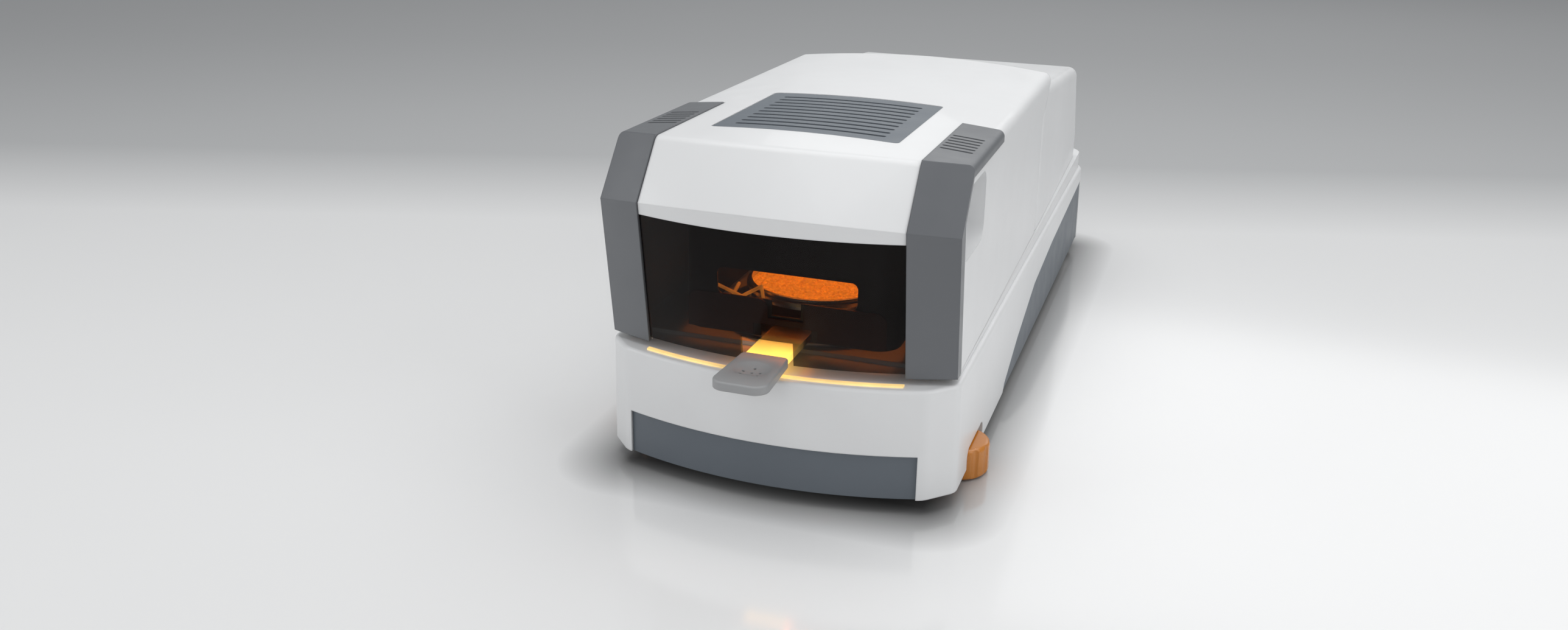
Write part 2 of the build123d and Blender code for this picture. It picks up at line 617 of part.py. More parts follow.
# Rear connectors: the openings in the rear wall and what sits in them
SHARE = BASE_WIDTH_REAR / 205.0      # the row of connectors fills the rear wall
INLET = (-62.0 * SHARE, 38.0, 27.0 * SHARE, 22.0)
SWITCH = (-28.0 * SHARE, 38.0, 13.0 * SHARE, 21.0)
SOCKET_A = (2.0 * SHARE, 34.0, 16.0 * SHARE, 14.0)
SOCKET_B = (25.0 * SHARE, 34.0, 16.0 * SHARE, 14.0)
FAN = (58.5 * SHARE, 36.0, 18.0 * SHARE)


def rear_block(item, grow, y0, y1):
    x, z, wide, high = item
    return block(x - wide / 2 - grow, x + wide / 2 + grow, y0, y1, z - high / 2 - grow, z + high / 2 + grow)


def rear_cuts(gap):
    far = back(BASE_BACK)
    cuts = rear_block(INLET, gap, far - 12, far + 5) + rear_block(SWITCH, gap, far - 12, far + 5)
    cuts = cuts + rear_block(SOCKET_A, gap, far - 12, far + 5) + rear_block(SOCKET_B, gap, far - 12, far + 5)
    x, z, radius = FAN
    return cuts + rod_y(x, far - 12, far + 5, z, radius)


def rear_pieces():
    far = back(BASE_BACK)
    inside = far - BASE_WALL
    body = rear_block(INLET, 0, far - 20, far + 0) - rear_block(INLET, -2.0, far - 16, far + 1)
    body = body + (rear_block(INLET, 3.0, inside - 2.2, inside - 0.2) - rear_block(INLET, -1, far - 20, far))
    keep("power_inlet", body)
    pins = []
    for dx in (-7, 0, 7):
        x = INLET[0] + dx
        z = INLET[1] + 3
        pins.append(one(block(x - 1, x + 1, far - 15.99, far - 3, z - 2, z + 2)))
    keep("inlet_pins", Compound(children=pins))
    frame = rear_block(SWITCH, 0, far - 14, far) - rear_block(SWITCH, -1.5, far - 12, far + 1)
    frame = frame + (rear_block(SWITCH, 3.0, inside - 2.2, inside - 0.2) - rear_block(SWITCH, -1, far - 20, far))
    keep("switch_frame", frame)
    x, z, wide, high = SWITCH
    half = wide / 2 - 2.0
    rocker = rod_x(x - half, x + half, far - 7.0, z, 3.2)
    wing = side_prism([(BASE_BACK - 7, z - 3.2), (BASE_BACK - 1.0, z - 8.0), (BASE_BACK - 0.2, z),
                       (BASE_BACK - 1.0, z + 8.0), (BASE_BACK - 7, z + 3.2)], x - half, x + half)
    rocker = rocker + wing - rod_x(x - 8, x + 8, far - 7.0, z, 1.25)
    keep("switch_rocker", rocker)
    keep("rocker_pin", rod_x(x - half - 0.5, x + half + 0.5, far - 7.0, z, 1.2))
    for name, item in (("terminal_socket", SOCKET_A), ("data_socket", SOCKET_B)):
        body = rear_block(item, 0, far - 16, far) - rear_block(item, -2.0, far - 13, far + 1)
        body = body + (rear_block(item, 2.5, inside - 2.0, inside - 0.2) - rear_block(item, -1, far - 20, far))
        keep(name, body)


def fan():
    far = back(BASE_BACK)
    x, z, radius = FAN
    y1 = far - BASE_WALL - 0.3
    y0 = y1 - 10
    frame = block(x - radius - 2, x + radius + 2, y0, y1, z - radius - 2, z + radius + 2)
    frame = frame - rod_y(x, y0 - 1, y1 + 1, z, radius)
    spokes = block(x - radius - 1, x + radius + 1, y0, y0 + 1.6, z - 1.5, z + 1.5)
    spokes = spokes + block(x - 1.5, x + 1.5, y0, y0 + 1.6, z - radius - 1, z + radius + 1)
    spokes = spokes + rod_y(x, y0, y0 + 1.6, z, 6) + rod_y(x, y0, y1 - 1.5, z, 1.5)
    keep("fan_frame", frame + spokes)
    hub = rod_y(x, y0 + 2.2, y1 - 1.2, z, 7)
    rotor = hub
    for number in range(7):
        blade = Pos(0, 0, 0) * Box(radius - 7.5, 1.0, 6.5)
        blade = Pos((radius - 1.2 + 6) / 2, 0, 0) * Rot(38, 0, 0) * blade
        blade = Rot(0, number * 360 / 7, 0) * blade
        rotor = rotor + Pos(x, (y0 + y1) / 2 + 0.4, z) * blade
    rotor = rotor - rod_y(x, y0 - 1, y1 - 1.45, z, 1.56)
    keep("fan_rotor", rotor.solids().sort_by(SortBy.VOLUME)[-1])
    guard = None
    for ring in (5.5, 9.5, 13.5, 17.0):
        hoop = rod_y(x, far - BASE_WALL + 0.1, far - BASE_WALL + 1.3, z, ring)
        hoop = hoop - rod_y(x, far - BASE_WALL, far - BASE_WALL + 2, z, ring - 1.4)
        guard = hoop if guard is None else guard + hoop
    for angle in (45, 135):
        bar = Pos(x, far - BASE_WALL + 0.7, z) * Rot(0, angle, 0) * Box(2 * radius - 0.6, 1.2, 1.6)
        guard = guard + bar
    keep("fan_guard", guard)


# Feet
def feet():
    y = back(FOOT_BACK)
    for side, name in ((-1, "left"), (1, "right")):
        x = side * FOOT_SIDE
        ring = rod(x, y, KNOB_LOW, KNOB_HIGH, KNOB_RADIUS)
        ring = fillet(ring.edges(), KNOB_EDGE)
        for lobe in range(KNOB_LOBES):
            angle = math.radians((lobe + 0.5) * 360 / KNOB_LOBES)
            reach = KNOB_RADIUS + KNOB_LOBE_RADIUS * 0.72
            ring = ring - rod(x + reach * math.cos(angle), y + reach * math.sin(angle), KNOB_LOW - 5, KNOB_HIGH + 5,
                              KNOB_LOBE_RADIUS)
        bore = rod(x, y, KNOB_LOW - 5, KNOB_HIGH + 5, STEM_RADIUS + STEM_CLEARANCE)
        pocket = rod(x, y, KNOB_LOW - 5, KNOB_POCKET_HIGH, KNOB_POCKET)
        keep("foot_knob_" + name, ring - bore - pocket)
        keep("foot_stem_" + name, rod(x, y, FOOT_PAD_TOP, KNOB_HIGH + 14, STEM_RADIUS))
        pad = rod(x, y, -LIFT, FOOT_PAD_TOP - 0.01, FOOT_PAD_RADIUS)
        keep("foot_pad_" + name, fillet(pad.edges().sort_by(Axis.Z)[0], 1.0))
        boss = rod(x, y, KNOB_HIGH + 0.4, BASE_TOP - BASE_WALL - 0.1, BOSS_RADIUS)
        boss = boss - rod(x, y, KNOB_HIGH - 5, KNOB_HIGH + 20, STEM_RADIUS + STEM_CLEARANCE)
        keep("foot_boss_" + name, boss & base_solid(BASE_WALL + 0.1, 1, BASE_TOP))
    rear = []
    for side in (-1, 1):
        rear.append(one(rod(side * REAR_FOOT_SIDE, back(REAR_FOOT_BACK), -LIFT, PLATE_LOW, REAR_FOOT_RADIUS)))
    keep("rear_feet", Compound(children=rear))


# Base plate and what it carries
def base_plate():
    body = base_solid(BASE_WALL + 0.4, PLATE_LOW, PLATE_TOP)
    corner = block(FOOT_SIDE - KNOB_RADIUS - 3, 130, back(-60), back(FOOT_BACK + KNOB_RADIUS + 4), 0, 50)
    body = body - corner - mirrored(corner)
    body = body - block(-150, 150, back(-60), back(8), 0, 50)
    slits = None
    for number in range(8):
        at = back(400 + 12 * number)
        slit = Pos(0, at, 0) * extrude(SlotOverall(90, 4), amount=30)
        slits = slit if slits is None else slits + slit
    keep("base_plate", body - slits)


def chamber_base():
    centre = back(PAN_BACK)
    wall = rod(0, centre, TRAY_FLOOR, BASE_TOP + 2.0, CHAMBER_RADIUS - 0.3)
    wall = wall - rod(0, centre, TRAY_FLOOR + SHEET, BASE_TOP + 5, CHAMBER_RADIUS - 0.3 - SHEET)
    wall = wall - rod(0, centre, TRAY_FLOOR - 1, TRAY_FLOOR + 5, 12)
    rim = rod(0, centre, BASE_TOP + 0.1 + SHOULDER_LIFT, BASE_TOP + 0.1 + SHOULDER_LIFT + SHEET, CHAMBER_RADIUS + 4)
    rim = rim - rod(0, centre, 0, 200, CHAMBER_RADIUS - 0.4 - SHEET)
    join = rod(0, centre, TRAY_FLOOR + 2, BASE_TOP + 0.2 + SHOULDER_LIFT, CHAMBER_RADIUS - 0.3)
    join = join - rod(0, centre, 0, 200, CHAMBER_RADIUS - 0.3 - SHEET)
    keep("chamber_tray", wall + rim + join)
    keep("weighing_post", rod(0, centre, LOAD_CELL_TOP, PAN_SEAT - 4.0, 5.0) + rod(0, centre, PAN_SEAT - 14, PAN_SEAT - 8, 9))


SHOULDER_LIFT = SHOULDER_FRONT + SHOULDER_RISE * (PAN_BACK + CHAMBER_RADIUS + 5) / BASE_BACK - BASE_TOP
LOAD_CELL_TOP = 42.0
PAN_SEAT = PAN_RIM - PAN_DEPTH


def pan_group():
    centre = back(PAN_BACK)
    outer = rod(0, centre, PAN_SEAT, PAN_RIM, PAN_RADIUS - PAN_BEAD)
    inner = rod(0, centre, PAN_SEAT + PAN_WALL, PAN_RIM + 5, PAN_RADIUS - PAN_BEAD - PAN_WALL)
    bead = Pos(0, centre, PAN_RIM - PAN_BEAD) * Torus(PAN_RADIUS - PAN_BEAD, PAN_BEAD)
    body = outer + (bead - rod(0, centre, 0, 200, PAN_RADIUS - PAN_BEAD - PAN_WALL)) - inner
    keep("sample_pan", body)
    sample = rod(0, centre, PAN_SEAT + PAN_WALL, PAN_SEAT + PAN_WALL + SAMPLE_DEPTH,
                 PAN_RADIUS - PAN_BEAD - PAN_WALL - 0.05)
    keep("sample", sample)
    wire = 1.4
    height = PAN_SEAT - wire - FIT
    cross = rod(0, centre, PAN_SEAT - 7.9, PAN_SEAT - 4.1, 7.5)
    reach = PAN_RADIUS - 9
    arms = None
    for angle in (45, 135):
        bar = Pos(0, centre, height) * Rot(0, 0, angle) * Rot(0, 90, 0) * Cylinder(wire, 2 * reach)
        arms = bar if arms is None else arms + bar
    ring = Pos(0, centre, height) * Torus(reach, wire)
    column = rod(0, centre, PAN_SEAT - 4.2, PAN_SEAT - FIT - 0.3, 7)
    keep("pan_support", cross + arms + ring + column - rod(0, centre, 0, PAN_SEAT - 4.0 + 0.05, 5.05))


def carrier():
    centre = back(PAN_BACK)
    top = CARRIER_TOP
    front = back(TAB_BACK + 1.0)
    half = CARRIER_WIDTH / 2
    ring = rod(0, centre, top - 2.5, top, CARRIER_RING_RADIUS) - rod(0, centre, 0, 200, CARRIER_RING_RADIUS - 5)
    reach = centre - CARRIER_RING_RADIUS + 2
    band = block(-half, half, front, reach, top - CARRIER_SHEET, top)
    for side in (-1, 1):
        x0 = side * half
        x1 = side * (half - CARRIER_SHEET)
        band = band + block(min(x0, x1), max(x0, x1), front, reach - 2, top - CARRIER_FLANGE, top)
    wire = 1.1
    rail_radius = PAN_RADIUS - PAN_BEAD + FIT + wire
    rail_height = PAN_RIM - 2 * PAN_BEAD - FIT - wire
    posts = None
    for angle in (35, 145, 215, 325):
        px = rail_radius * math.cos(math.radians(angle))
        py = centre + rail_radius * math.sin(math.radians(angle))
        post = rod(px, py, top - 0.2, rail_height, wire * 0.8)
        posts = post if posts is None else posts + post
    rail = rod(0, centre, rail_height - wire, rail_height + wire, rail_radius + wire)
    rail = rail - rod(0, centre, 0, 200, rail_radius - wire)
    keep("carrier_band", ring + band + posts + rail)
    tab_front = back(-TAB_REACH)
    tab_rear = back(TAB_BACK)
    middle = (tab_front + tab_rear) / 2
    length = tab_rear - tab_front
    sketch = make_face(Polyline((-TAB_WIDTH / 2, tab_front), (TAB_WIDTH / 2, tab_front),
                                (half + 1.5, tab_rear), (-half - 1.5, tab_rear), close=True).edges())
    low = sketch.vertices().sort_by(Axis.Y)[:2]
    sketch = fillet(low, 8)
    high = sketch.vertices().sort_by(Axis.Y)[-2:]
    sketch = fillet(high, 3)
    body = extrude(Pos(0, 0, TAB_TOP - TAB_THICKNESS) * sketch, amount=TAB_THICKNESS)
    body = soften(body, 1.2, body.faces().sort_by(Axis.Z)[-1].edges())
    body = one(body) - block(-half - 0.1, half + 0.1, tab_rear - 8, tab_rear + 5, 0, top + 0.05)
    dish = Pos(0, middle + 1, TAB_TOP + 20.2) * Sphere(23.0)
    body = body - (dish & block(-20, 20, middle - 8, middle + 30, 0, 200))
    for column, rows in ((-5.0, (-1, 0, 1)), (0.0, (-1, 0, 1)), (5.0, (0,))):
        for row in rows:
            body = body - rod(row * 5.0, middle + column + 1, 0, 200, TAB_HOLE_RADIUS)
    keep("handle_tab", body.solids().sort_by(SortBy.VOLUME)[-1])


def inner_pieces():
    y = back(PAN_BACK)
    cell = block(-14, 14, y - 14, y + 96, 18, LOAD_CELL_TOP - 0.1)
    cell = cell - block(-20, 20, y + 16, y + 66, 24, 36)
    keep("load_cell", cell)
    mount = block(-18, 18, y + 70, y + 98, PLATE_TOP, 17.9)
    keep("load_cell_mount", mount)
    board = block(-60, 60, back(215), back(375), 22, 23.6)
    keep("main_board", board)
    chips = [(-30, 250, 24, 24, 4), (20, 240, 30, 18, 3), (30, 300, 16, 30, 12), (-25, 320, 40, 12, 8),
             (10, 345, 14, 14, 10)]
    solids = []
    for x, at, wide, deep, high in chips:
        solids.append(one(block(x - wide / 2, x + wide / 2, back(at) - deep / 2, back(at) + deep / 2,
                                23.65, 23.65 + high)))
    keep("board_components", Compound(children=solids))
    spacers = []
    for x in (-54, 54):
        for at in (221, 369):
            spacers.append(one(rod(x, back(at), PLATE_TOP, 21.95, 3.0)))
    keep("board_spacers", Compound(children=spacers))
    supply = block(-76, -8, back(395), back(528), PLATE_TOP + 0.05, 58)
    supply = fillet(supply.edges().filter_by(Axis.Z), 2)
    keep("power_supply", supply)
    keep("fan_duct", duct())
    bubble = rod(0, back(BASE_BACK - 12), parting(BASE_BACK - 6) + 0.02, parting(BASE_BACK - 6) + 4, 6)
    keep("level_bubble", fillet(bubble.edges().sort_by(Axis.Z)[-1], 1.5))


def duct():
    far = back(BASE_BACK)
    x, z, radius = FAN
    y1 = far - BASE_WALL - 10.6
    outer = block(x - radius - 2, x + radius + 2, y1 - 40, y1, z - radius - 2, z + radius + 2)
    inner = block(x - radius - 0.5, x + radius + 0.5, y1 - 50, y1 + 5, z - radius - 0.5, z + radius + 0.5)
    return outer - inner


def screws():
    solids = []
    for x in (-88, 88):
        for at in (200, 330, 470):
            body = rod(x, back(at), PLATE_LOW - 1.5, PLATE_LOW - 0.01, 3.0)
            solids.append(one(body))
    keep("plate_screws", Compound(children=solids))


def lifted(shape):
    """The shape at its height above the floor."""
    up = Location((0, 0, LIFT))
    if shape.children:
        return Compound(children=[child.moved(up) for child in shape.children])
    return shape.moved(up)


def build():
    hood_shell()
    grips()
    glass_panel()
    vent_grille()
    chamber_liner()
    heater()
    hinge()
    rear_housing()
    base_shell()
    front_skirt()
    side_skirts()
    light_strip()
    rear_pieces()
    fan()
    feet()
    base_plate()
    chamber_base()
    pan_group()
    carrier()
    inner_pieces()
    screws()
    os.makedirs("parts", exist_ok=True)
    for name, shape in PARTS.items():
        placed = lifted(shape)
        placed.label = name
        export_step(placed, "parts/" + name + ".step")
        print(name, len(shape.solids()), round(shape.volume))


build()
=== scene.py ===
import bpy
import bmesh
import json
import math
import random
from mathutils import Matrix, Vector

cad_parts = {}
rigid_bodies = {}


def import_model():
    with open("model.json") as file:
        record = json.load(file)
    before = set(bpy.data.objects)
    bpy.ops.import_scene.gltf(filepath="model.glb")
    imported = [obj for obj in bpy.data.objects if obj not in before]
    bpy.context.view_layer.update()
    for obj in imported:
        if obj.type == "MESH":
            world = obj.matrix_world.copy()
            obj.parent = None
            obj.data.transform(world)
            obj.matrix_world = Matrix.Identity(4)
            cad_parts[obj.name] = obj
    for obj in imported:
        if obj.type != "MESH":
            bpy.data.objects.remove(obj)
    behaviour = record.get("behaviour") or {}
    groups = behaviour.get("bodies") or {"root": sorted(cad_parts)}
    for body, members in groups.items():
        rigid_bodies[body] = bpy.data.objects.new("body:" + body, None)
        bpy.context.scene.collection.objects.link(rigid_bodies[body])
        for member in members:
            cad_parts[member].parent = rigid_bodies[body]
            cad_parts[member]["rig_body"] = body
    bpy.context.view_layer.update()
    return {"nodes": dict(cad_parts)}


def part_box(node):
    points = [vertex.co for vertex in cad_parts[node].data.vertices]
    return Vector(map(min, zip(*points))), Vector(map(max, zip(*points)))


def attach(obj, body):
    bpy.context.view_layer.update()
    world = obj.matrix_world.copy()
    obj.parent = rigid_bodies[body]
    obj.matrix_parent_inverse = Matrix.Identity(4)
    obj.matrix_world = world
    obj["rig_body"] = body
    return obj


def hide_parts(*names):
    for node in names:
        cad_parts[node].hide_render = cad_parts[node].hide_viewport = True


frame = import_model()
nodes = frame["nodes"]


# Small helpers for shaders
class Value:
    """A socket that numbers can be added to and multiplied with."""

    def __init__(self, shader, socket):
        self.shader = shader
        self.socket = socket

    def _math(self, operation, *others):
        return self.shader.node("ShaderNodeMath", {"operation": operation}, self, *others)

    def __add__(self, other):
        return self._math("ADD", other)

    __radd__ = __add__

    def __sub__(self, other):
        return self._math("SUBTRACT", other)

    def __rsub__(self, other):
        return self.shader.node("ShaderNodeMath", {"operation": "SUBTRACT"}, other, self)

    def __mul__(self, other):
        return self._math("MULTIPLY", other)

    __rmul__ = __mul__

    def clamped(self):
        return self.shader.node("ShaderNodeClamp", {}, self)

    def absolute(self):
        return self._math("ABSOLUTE")

    def power(self, exponent):
        return self._math("POWER", exponent)


class Shader:
    """A material with one Principled surface, built by short calls."""

    def __init__(self, name):
        self.material = bpy.data.materials.new(name)
        self.material.use_nodes = True
        self.tree = self.material.node_tree
        self.tree.nodes.clear()
        self.output = self.tree.nodes.new("ShaderNodeOutputMaterial")

    def node(self, kind, settings=None, *values, out=0, **named):
        made = self.tree.nodes.new(kind)
        for key, value in (settings or {}).items():
            if key == "stops":
                ramp = made.color_ramp
                while len(ramp.elements) < len(value):
                    ramp.elements.new(0.5)
                for element, (place, colour) in zip(ramp.elements, value):
                    element.position = place
                    element.color = (*colour, 1) if len(colour) == 3 else colour
            else:
                setattr(made, key, value)
        for number, value in enumerate(values):
            self.feed(made.inputs[number], value)
        for key, value in named.items():
            self.feed(made.inputs[key.replace("_", " ")], value)
        return Value(self, made.outputs[out])

    def feed(self, socket, value):
        if isinstance(value, Value):
            self.tree.links.new(value.socket, socket)
        elif value is not None:
            socket.default_value = value

    def place(self):
        return self.node("ShaderNodeTexCoord", out=3)

    def noise(self, scale, detail=3.0, vector=None, roughness=0.5):
        return self.node("ShaderNodeTexNoise", {}, Vector=vector or self.place(), Scale=scale, Detail=detail,
                         Roughness=roughness)

    def axis(self, letter, vector=None):
        number = "XYZ".index(letter)
        return self.node("ShaderNodeSeparateXYZ", {}, vector or self.place(), out=number)

    def mix(self, factor, first, second):
        made = self.tree.nodes.new("ShaderNodeMix")
        made.data_type = "RGBA"
        self.feed(made.inputs[0], factor)
        self.feed(made.inputs[6], first)
        self.feed(made.inputs[7], second)
        return Value(self, made.outputs[2])

    def spread(self, value, low, high, to_low, to_high):
        return self.node("ShaderNodeMapRange", {}, value, low, high, to_low, to_high)

    def bump(self, height, strength, distance, normal=None):
        return self.node("ShaderNodeBump", {}, Strength=strength, Distance=distance, Height=height,
                         Normal=normal)

    def rounded(self, radius):
        return self.node("ShaderNodeBevel", {"samples": 4}, Radius=radius)

    def surface(self, **inputs):
        shown = self.node("ShaderNodeBsdfPrincipled", {}, **inputs)
        self.tree.links.new(shown.socket, self.output.inputs["Surface"])
        return self


def rgba(colour):
    return (*colour, 1.0)


# Finishes: how fine their patterns are, and how deep
BROAD_TONE = 9.0
HANDLING = 60.0
FINE_GRAIN = 1500.0
GRAIN_DEPTH = 0.0002
LINE_DEPTH = 0.0001
STREAK_DARK = 0.86
SMUDGE = 22.0
SHEET_EDGE = 0.0004


def moulded(name, colour, roughness, grain=0.03, edge=0.0006, coat=0.0, tint=0.035, metallic=0.0):
    """Moulded plastic: a fine grain, a faint change of tone and softened edges."""
    s = Shader(name)
    broad = s.noise(BROAD_TONE, 3.0)
    fine = s.noise(FINE_GRAIN, 2.0)
    darker = tuple(c * (1 - tint) for c in colour)
    tone = s.mix(s.spread(broad, 0.35, 0.65, 0.0, 1.0), rgba(darker), rgba(colour))
    rough = s.spread(s.noise(HANDLING, 4.0), 0.3, 0.7, roughness - 0.03, roughness + 0.04)
    normal = s.bump(fine, grain, GRAIN_DEPTH, s.rounded(edge))
    s.surface(Base_Color=tone, Roughness=rough, Normal=normal, Metallic=metallic, Coat_Weight=coat)
    return s.material


def metal(name, colour, roughness, stretch=(1, 1, 1), scale=400.0, grain=0.05, edge=0.0003, emission=None):
    """Metal with fine lines along one way, with an optional painted glow that stands in for lamplight falling
    on it.
    """
    s = Shader(name)
    lines = s.node("ShaderNodeMapping", {}, Vector=s.place(), Scale=stretch)
    streak = s.noise(scale, 4.0, lines)
    rough = s.spread(streak, 0.3, 0.7, roughness - 0.06, roughness + 0.08)
    tone = s.mix(streak, rgba(tuple(c * STREAK_DARK for c in colour)), rgba(colour))
    normal = s.bump(streak, grain, LINE_DEPTH, s.rounded(edge))
    extra = {}
    # Painted lamplight: the emission lights the metal itself, strongest at one end and fading along Y
    if emission:
        warm, strength, near, far = emission
        along = s.axis("Y")
        fade = s.spread(along, near, far, 1.0, 0.0).clamped()
        extra = {"Emission_Color": s.mix(fade, (0, 0, 0, 1), rgba(warm)), "Emission_Strength": strength}
    s.surface(Base_Color=tone, Roughness=rough, Metallic=1.0, Normal=normal, **extra)
    return s.material


def clear_shell(name, colour, alpha, roughness=0.04, emission=(0, 0, 0), strength=0.0, mirror=0.5):
    """Thin clear or smoked sheet."""
    s = Shader(name)
    smudge = s.noise(SMUDGE, 4.0)
    rough = s.spread(smudge, 0.35, 0.75, roughness, roughness + 0.05)
    s.surface(Base_Color=rgba(colour), Roughness=rough, Alpha=alpha, Normal=s.rounded(SHEET_EDGE),
              Specular_IOR_Level=mirror, Emission_Color=rgba(emission), Emission_Strength=strength)
    return s.material


GLOW_DIP = 0.45                # the darkest specks of a glowing surface, as a share of its colour


def glowing(name, colour, strength, base=(0.8, 0.6, 0.3), cells=40.0):
    """A surface that gives light, with darker specks: the light strip's lamp, and painted lamplight on the
    wires and the sample.
    """
    s = Shader(name)
    grain = s.noise(cells, 3.0)
    dark = rgba(tuple(c * GLOW_DIP for c in colour))
    light = s.mix(s.spread(grain, 0.35, 0.65, 0.0, 1.0), dark, rgba(colour))
    s.surface(Base_Color=rgba(base), Roughness=0.6, Emission_Color=light, Emission_Strength=strength)
    return s.material


WHITE = moulded("white_shell_plastic", (0.78, 0.785, 0.79), 0.34, 0.02, 0.0009, coat=0.12)
GRIP = moulded("grip_plastic", (0.135, 0.142, 0.153), 0.33, 0.06, 0.0009)
SLATE = moulded("slate_plastic", (0.122, 0.142, 0.165), 0.42, 0.06, 0.0006)
TAB = moulded("tab_plastic", (0.33, 0.333, 0.338), 0.42, 0.05, 0.0007)
AMBER = moulded("amber_plastic", (0.66, 0.23, 0.02), 0.26, 0.03, 0.0010, coat=0.4, tint=0.25)
BLACK = moulded("black_plastic", (0.018, 0.018, 0.020), 0.42, 0.06, 0.0003)
RUBBER = moulded("rubber", (0.022, 0.022, 0.022), 0.75, 0.2, 0.0006)
BOARD = moulded("circuit_board", (0.02, 0.13, 0.06), 0.5, 0.05, 0.0002)
STEEL = metal("sheet_steel", (0.60, 0.60, 0.60), 0.32, (1, 60, 1))
BRIGHT = metal("bright_steel", (0.72, 0.71, 0.69), 0.16, (1, 1, 1), 200.0, 0.02)
ALUMINIUM = metal("aluminium", (0.72, 0.72, 0.73), 0.30, (1, 40, 1))
BRASS = metal("brass", (0.78, 0.56, 0.25), 0.25)
DARK_STEEL = metal("dark_steel", (0.10, 0.085, 0.08), 0.42, (1, 40, 1))
GOLD = metal("gold_mirror", (0.90, 0.62, 0.25), 0.12, (1, 1, 1), 60.0, 0.02)
# The carrier band's glow is painted lamplight, bright at its front and fading towards the back
LAMPLIT_BAND = metal("lit_band", (0.70, 0.62, 0.50), 0.30, (60, 1, 1),
                  emission=((1.0, 0.56, 0.10), 1.9, -0.268, -0.236))
# Painted shade and dim lamplight: the dark red of the sheet behind the glass round the window
DIM_LIT_PLATE_FINISH = moulded("dim_lit_plate", (0.10, 0.022, 0.010), 0.45, 0.05)
# The wires beside the pan glow with painted lamplight
LIT_WIRE = glowing("lit_wire", (1.0, 0.30, 0.03), 1.5, (0.8, 0.5, 0.25), 90.0)
SMOKED = clear_shell("smoked_glass", (0.003, 0.002, 0.002), 0.58, 0.05, mirror=0.14)
# The lamp guard glass glows with painted lamplight, in place of the halogen light shining through it
GLOWING_GUARD_GLASS = clear_shell("guard_glass", (0.9, 0.6, 0.3), 0.35, emission=(1.0, 0.28, 0.04), strength=4.0)
LAMP = clear_shell("lamp_glass", (1.0, 0.7, 0.4), 0.5, emission=(1.0, 0.45, 0.12), strength=2.5)
STRIP = glowing("light_line", (1.0, 0.62, 0.16), 0.80, (0.9, 0.72, 0.40))
# The sample glows with painted lamplight; it is no lamp
LAMPLIT_GRAINS = glowing("sample_grains", (1.0, 0.26, 0.012), 3.0, (0.75, 0.36, 0.10), 480.0)
BUBBLE = clear_shell("level_vial", (0.45, 0.62, 0.05), 0.55)


# Pieces made from the frame's own solids: joined, smoothed by angle, and given a finish
SMOOTH_ANGLE = math.radians(32)
MERGE = 2e-6


def body_of(node):
    return nodes[node]["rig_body"]


def skin_of(node, material):
    """A merged and smooth copy of a CAD node that stands for it."""
    mesh = nodes[node].data.copy()
    mesh.name = node + "_skin"
    edit = bmesh.new()
    edit.from_mesh(mesh)
    bmesh.ops.remove_doubles(edit, verts=edit.verts, dist=MERGE)
    for face in edit.faces:
        face.smooth = True
    for edge in edit.edges:
        edge.smooth = len(edge.link_faces) == 2 and edge.calc_face_angle(0.0) < SMOOTH_ANGLE
    edit.to_mesh(mesh)
    edit.free()
    mesh.materials.clear()
    mesh.materials.append(material)
    piece = bpy.data.objects.new(node + "_skin", mesh)
    bpy.context.scene.collection.objects.link(piece)
    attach(piece, body_of(node))
    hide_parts(node)


FINISH = {
    "hood_shell": WHITE, "rear_housing": WHITE, "base_shell": WHITE, "foot_boss_left": WHITE,
    "foot_boss_right": WHITE, "grip_left": GRIP, "grip_right": GRIP, "handle_tab": TAB,
    "vent_grille": SLATE, "front_skirt_panel": SLATE, "side_skirt_left": SLATE, "side_skirt_right": SLATE,
    "foot_knob_left": AMBER, "foot_knob_right": AMBER, "front_glass": SMOKED, "chamber_liner": DARK_STEEL,
    "halogen_lamp_front": LAMP, "halogen_lamp_rear": LAMP, "lamp_holders": BLACK, "reflector": GOLD,
    "lamp_guard_glass": GLOWING_GUARD_GLASS, "temperature_sensor": BRIGHT, "liner_posts": ALUMINIUM, "hinge_pins": BRIGHT,
    "hinge_arms": STEEL, "hinge_brackets": STEEL, "hinge_dampers": BLACK, "light_strip": STRIP,
    "power_inlet": BLACK, "inlet_pins": BRASS, "switch_frame": BLACK, "switch_rocker": BLACK,
    "rocker_pin": STEEL, "terminal_socket": BLACK, "data_socket": BLACK, "fan_frame": BLACK,
    "fan_rotor": BLACK, "fan_guard": STEEL, "foot_stem_left": STEEL, "foot_stem_right": STEEL,
    "foot_pad_left": RUBBER, "foot_pad_right": RUBBER, "rear_feet": RUBBER, "base_plate": STEEL,
    "chamber_tray": STEEL, "weighing_post": BRIGHT, "sample_pan": ALUMINIUM, "pan_support": BRIGHT,
    "carrier_band": LAMPLIT_BAND, "load_cell": ALUMINIUM, "load_cell_mount": ALUMINIUM, "main_board": BOARD,
    "board_components": BLACK, "board_spacers": BRASS, "power_supply": ALUMINIUM, "fan_duct": BLACK,
    "level_bubble": BUBBLE, "plate_screws": STEEL,
}


def dress_nodes():
    for node, material in FINISH.items():
        skin_of(node, material)


def finished(name, edit, material, body, replaced=()):
    """Make a new piece of a finished bmesh, on its body."""
    mesh = bpy.data.meshes.new(name)
    edit.to_mesh(mesh)
    edit.free()
    mesh.materials.append(material)
    piece = bpy.data.objects.new(name, mesh)
    bpy.context.scene.collection.objects.link(piece)
    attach(piece, body)
    if replaced:
        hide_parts(*replaced)


# Sample: a shallow bed with a layer of loose grains, both glowing orange with painted lamplight
BED_SIDES = 72
BED_RINGS = 14
GRAIN_SEED = 7
GRAIN_COUNT = 900
GRAIN_REACH = 0.965            # share of the bed's radius that grains lie on
GRAIN_SIZES = (0.0007, 0.0013)
GRAIN_NARROW = 0.6
GRAIN_FLAT = 0.7
GRAIN_SINK = -0.3
GRAIN_RISE = 0.5


